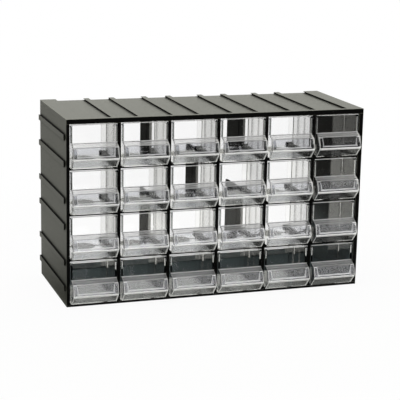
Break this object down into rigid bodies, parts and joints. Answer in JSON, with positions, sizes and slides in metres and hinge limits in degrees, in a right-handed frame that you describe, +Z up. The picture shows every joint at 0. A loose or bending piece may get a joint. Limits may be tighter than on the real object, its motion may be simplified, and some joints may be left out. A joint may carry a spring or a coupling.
{
  "type": "parts bin cabinet",
  "caption": "Stackable small-parts cabinet: a dark open-backed plastic housing with side and top interlocks, holding a grid of clear pull-out drawers with label plates.",
  "frame": {"origin": "centre of the whole part's footprint, at the height of the surface it stands on", "axes": "+X to the right seen from the front, +Y to the back (drawers open towards -Y), +Z up"},
  "size_m": [0.384, 0.1606, 0.232],
  "materials": {
    "housing": "fine matt moulded texture, anthracite",
    "frame": "matt moulded, anthracite",
    "clear": "clear glossy polystyrene"
  },
  "bodies": {
    "housing": {"left_side": "housing", "right_side": "housing", "top_panel": "housing", "bottom_panel": "housing", "shelf_frame_1": "frame", "shelf_frame_2": "frame", "shelf_frame_3": "frame", "column_post_1": "frame", "column_post_2": "frame", "column_post_3": "frame", "column_post_4": "frame", "column_post_5": "frame", "rear_post_row1_line2": "frame", "rear_post_row1_line4": "frame", "rear_post_row2_line3": "frame", "rear_post_row3_line2": "frame", "rear_post_row3_line4": "frame"},
    "drawer_row1_col1": {"drawer_row1_col1": "clear"},
    "drawer_row1_col2": {"drawer_row1_col2": "clear"},
    "drawer_row1_col3": {"drawer_row1_col3": "clear"},
    "drawer_row1_col4": {"drawer_row1_col4": "clear"},
    "drawer_row1_col5": {"drawer_row1_col5": "clear"},
    "drawer_row1_col6": {"drawer_row1_col6": "clear"},
    "drawer_row2_col1": {"drawer_row2_col1": "clear"},
    "drawer_row2_col2": {"drawer_row2_col2": "clear"},
    "drawer_row2_col3": {"drawer_row2_col3": "clear"},
    "drawer_row2_col4": {"drawer_row2_col4": "clear"},
    "drawer_row2_col5": {"drawer_row2_col5": "clear"},
    "drawer_row2_col6": {"drawer_row2_col6": "clear"},
    "drawer_row3_col1": {"drawer_row3_col1": "clear"},
    "drawer_row3_col2": {"drawer_row3_col2": "clear"},
    "drawer_row3_col3": {"drawer_row3_col3": "clear"},
    "drawer_row3_col4": {"drawer_row3_col4": "clear"},
    "drawer_row3_col5": {"drawer_row3_col5": "clear"},
    "drawer_row3_col6": {"drawer_row3_col6": "clear"},
    "drawer_row4_col1": {"drawer_row4_col1": "clear"},
    "drawer_row4_col2": {"drawer_row4_col2": "clear"},
    "drawer_row4_col3": {"drawer_row4_col3": "clear"},
    "drawer_row4_col4": {"drawer_row4_col4": "clear"},
    "drawer_row4_col5": {"drawer_row4_col5": "clear"},
    "drawer_row4_col6": {"drawer_row4_col6": "clear"}
  },
  "joints": [
    {"name": "slide_row1_col1", "type": "slide", "parent": "housing", "child": "drawer_row1_col1", "axis": [0, -1, 0], "range_m": [0, 0.0552]},
    {"name": "slide_row1_col2", "type": "slide", "parent": "housing", "child": "drawer_row1_col2", "axis": [0, -1, 0], "range_m": [0, 0.0552]},
    {"name": "slide_row1_col3", "type": "slide", "parent": "housing", "child": "drawer_row1_col3", "axis": [0, -1, 0], "range_m": [0, 0.0552]},
    {"name": "slide_row1_col4", "type": "slide", "parent": "housing", "child": "drawer_row1_col4", "axis": [0, -1, 0], "range_m": [0, 0.0552]},
    {"name": "slide_row1_col5", "type": "slide", "parent": "housing", "child": "drawer_row1_col5", "axis": [0, -1, 0], "range_m": [0, 0.0552]},
    {"name": "slide_row1_col6", "type": "slide", "parent": "housing", "child": "drawer_row1_col6", "axis": [0, -1, 0], "range_m": [0, 0.0552]},
    {"name": "slide_row2_col1", "type": "slide", "parent": "housing", "child": "drawer_row2_col1", "axis": [0, -1, 0], "range_m": [0, 0.0552]},
    {"name": "slide_row2_col2", "type": "slide", "parent": "housing", "child": "drawer_row2_col2", "axis": [0, -1, 0], "range_m": [0, 0.0552]},
    {"name": "slide_row2_col3", "type": "slide", "parent": "housing", "child": "drawer_row2_col3", "axis": [0, -1, 0], "range_m": [0, 0.0552]},
    {"name": "slide_row2_col4", "type": "slide", "parent": "housing", "child": "drawer_row2_col4", "axis": [0, -1, 0], "range_m": [0, 0.0552]},
    {"name": "slide_row2_col5", "type": "slide", "parent": "housing", "child": "drawer_row2_col5", "axis": [0, -1, 0], "range_m": [0, 0.0552]},
    {"name": "slide_row2_col6", "type": "slide", "parent": "housing", "child": "drawer_row2_col6", "axis": [0, -1, 0], "range_m": [0, 0.0552]},
    {"name": "slide_row3_col1", "type": "slide", "parent": "housing", "child": "drawer_row3_col1", "axis": [0, -1, 0], "range_m": [0, 0.0552]},
    {"name": "slide_row3_col2", "type": "slide", "parent": "housing", "child": "drawer_row3_col2", "axis": [0, -1, 0], "range_m": [0, 0.0552]},
    {"name": "slide_row3_col3", "type": "slide", "parent": "housing", "child": "drawer_row3_col3", "axis": [0, -1, 0], "range_m": [0, 0.0552]},
    {"name": "slide_row3_col4", "type": "slide", "parent": "housing", "child": "drawer_row3_col4", "axis": [0, -1, 0], "range_m": [0, 0.0552]},
    {"name": "slide_row3_col5", "type": "slide", "parent": "housing", "child": "drawer_row3_col5", "axis": [0, -1, 0], "range_m": [0, 0.0552]},
    {"name": "slide_row3_col6", "type": "slide", "parent": "housing", "child": "drawer_row3_col6", "axis": [0, -1, 0], "range_m": [0, 0.0552]},
    {"name": "slide_row4_col1", "type": "slide", "parent": "housing", "child": "drawer_row4_col1", "axis": [0, -1, 0], "range_m": [0, 0.0552]},
    {"name": "slide_row4_col2", "type": "slide", "parent": "housing", "child": "drawer_row4_col2", "axis": [0, -1, 0], "range_m": [0, 0.0552]},
    {"name": "slide_row4_col3", "type": "slide", "parent": "housing", "child": "drawer_row4_col3", "axis": [0, -1, 0], "range_m": [0, 0.0552]},
    {"name": "slide_row4_col4", "type": "slide", "parent": "housing", "child": "drawer_row4_col4", "axis": [0, -1, 0], "range_m": [0, 0.0552]},
    {"name": "slide_row4_col5", "type": "slide", "parent": "housing", "child": "drawer_row4_col5", "axis": [0, -1, 0], "range_m": [0, 0.0552]},
    {"name": "slide_row4_col6", "type": "slide", "parent": "housing", "child": "drawer_row4_col6", "axis": [0, -1, 0], "range_m": [0, 0.0552]}
  ]
}
